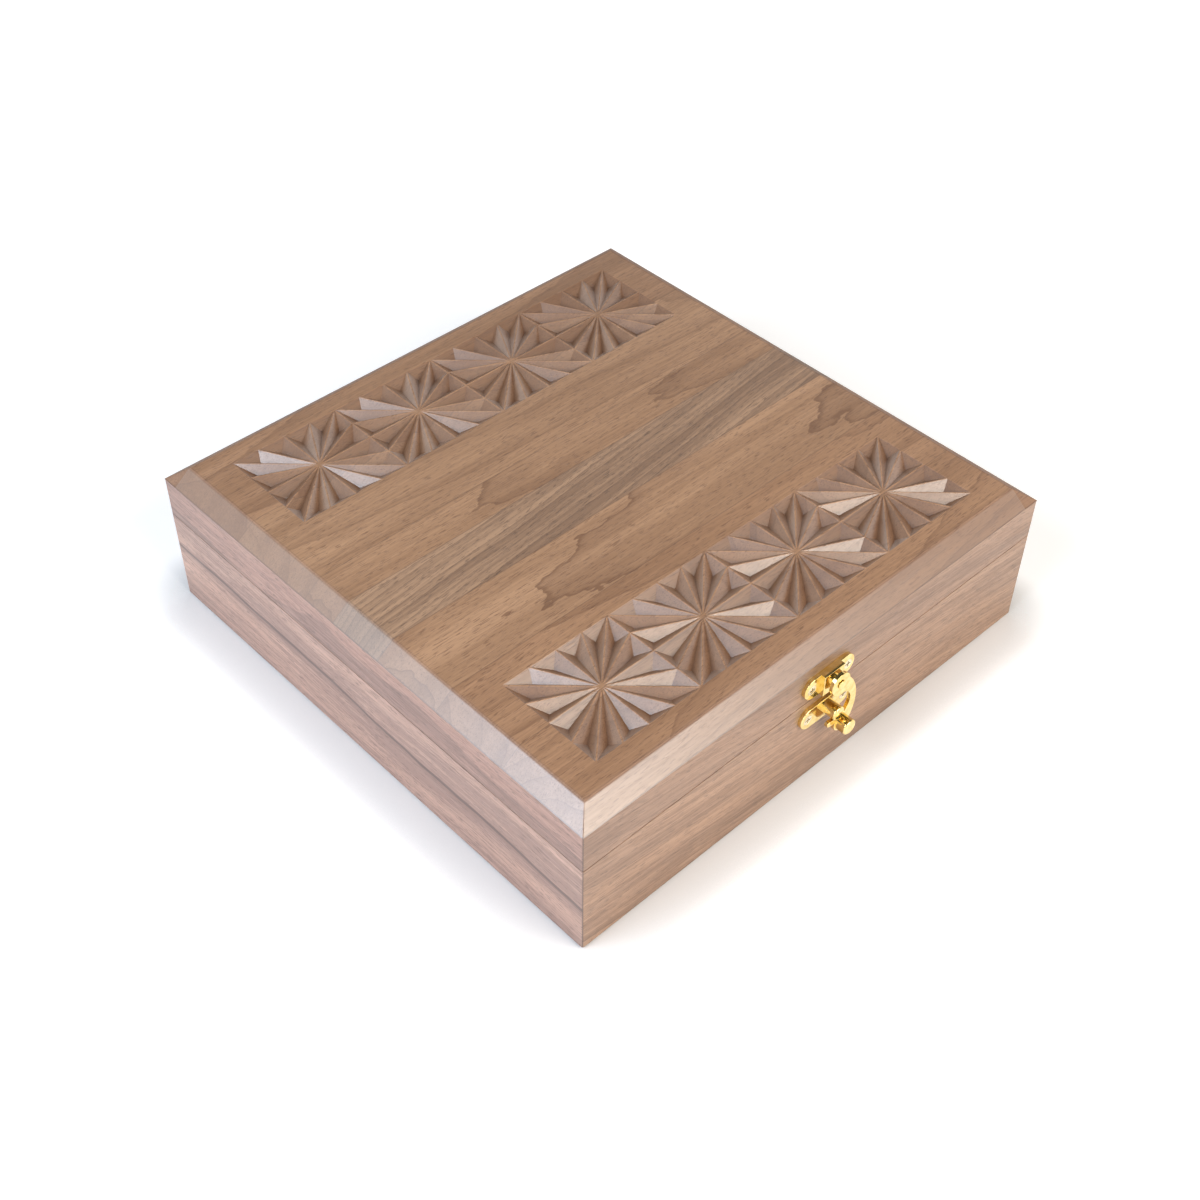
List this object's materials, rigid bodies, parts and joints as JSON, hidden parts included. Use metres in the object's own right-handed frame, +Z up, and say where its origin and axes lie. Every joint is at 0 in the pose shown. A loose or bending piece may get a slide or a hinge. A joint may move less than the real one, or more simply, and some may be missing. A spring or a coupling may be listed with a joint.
{
  "type": "carved wooden box",
  "caption": "Square walnut box with a hinged lid chip-carved in rows of rosettes, mitred walls, a chamfered lid panel and a gilt swing-hook latch on the front.",
  "frame": {"origin": "centre of the base's underside, on the table", "axes": "+X to the right along the front, +Y to the back, +Z up"},
  "size_m": [0.25, 0.2712, 0.0703],
  "materials": {
    "walnut_base": "planed walnut, oiled, matt",
    "walnut_rail": "planed walnut, oiled, matt",
    "walnut_panel": "sanded and carved walnut, oiled, satin",
    "gilt_brass": "bright gilt plating",
    "hinge_brass": "satin brass",
    "screw_brass": "bright plated screws"
  },
  "bodies": {
    "base": {"base_front_wall": "walnut_base", "base_back_wall": "walnut_base", "base_left_wall": "walnut_base", "base_right_wall": "walnut_base", "base_bottom_panel": "walnut_base", "keeper_plate": "gilt_brass", "keeper_post": "gilt_brass", "keeper_screws": "screw_brass", "hinge_left_base_leaf": "hinge_brass", "hinge_left_pin": "hinge_brass", "hinge_left_base_screws": "screw_brass", "hinge_right_base_leaf": "hinge_brass", "hinge_right_pin": "hinge_brass", "hinge_right_base_screws": "screw_brass"},
    "lid": {"lid_front_rail": "walnut_rail", "lid_back_rail": "walnut_rail", "lid_left_rail": "walnut_rail", "lid_right_rail": "walnut_rail", "lid_board_1": "walnut_panel", "lid_board_2": "walnut_panel", "lid_board_3": "walnut_panel", "lid_board_4": "walnut_panel", "lid_board_5": "walnut_panel", "lid_board_6": "walnut_panel", "lid_board_7": "walnut_panel", "latch_lid_plate": "gilt_brass", "latch_pivot_rivet": "gilt_brass", "latch_lid_screws": "screw_brass", "hinge_left_lid_leaf": "hinge_brass", "hinge_left_lid_screws": "screw_brass", "hinge_right_lid_leaf": "hinge_brass", "hinge_right_lid_screws": "screw_brass"},
    "hook": {"latch_hook": "gilt_brass", "latch_hook_knob": "gilt_brass"}
  },
  "joints": [
    {"name": "lid_hinge", "type": "hinge", "parent": "base", "child": "lid", "pos_m": [0, 0.1276, 0.0457], "axis": [-1, 0, 0], "range_deg": [0, 100]},
    {"name": "hook_swing", "type": "hinge", "parent": "lid", "child": "hook", "pos_m": [-0.0018, -0.131, 0.0544], "axis": [0, -1, 0], "range_deg": [0, 100]}
  ]
}
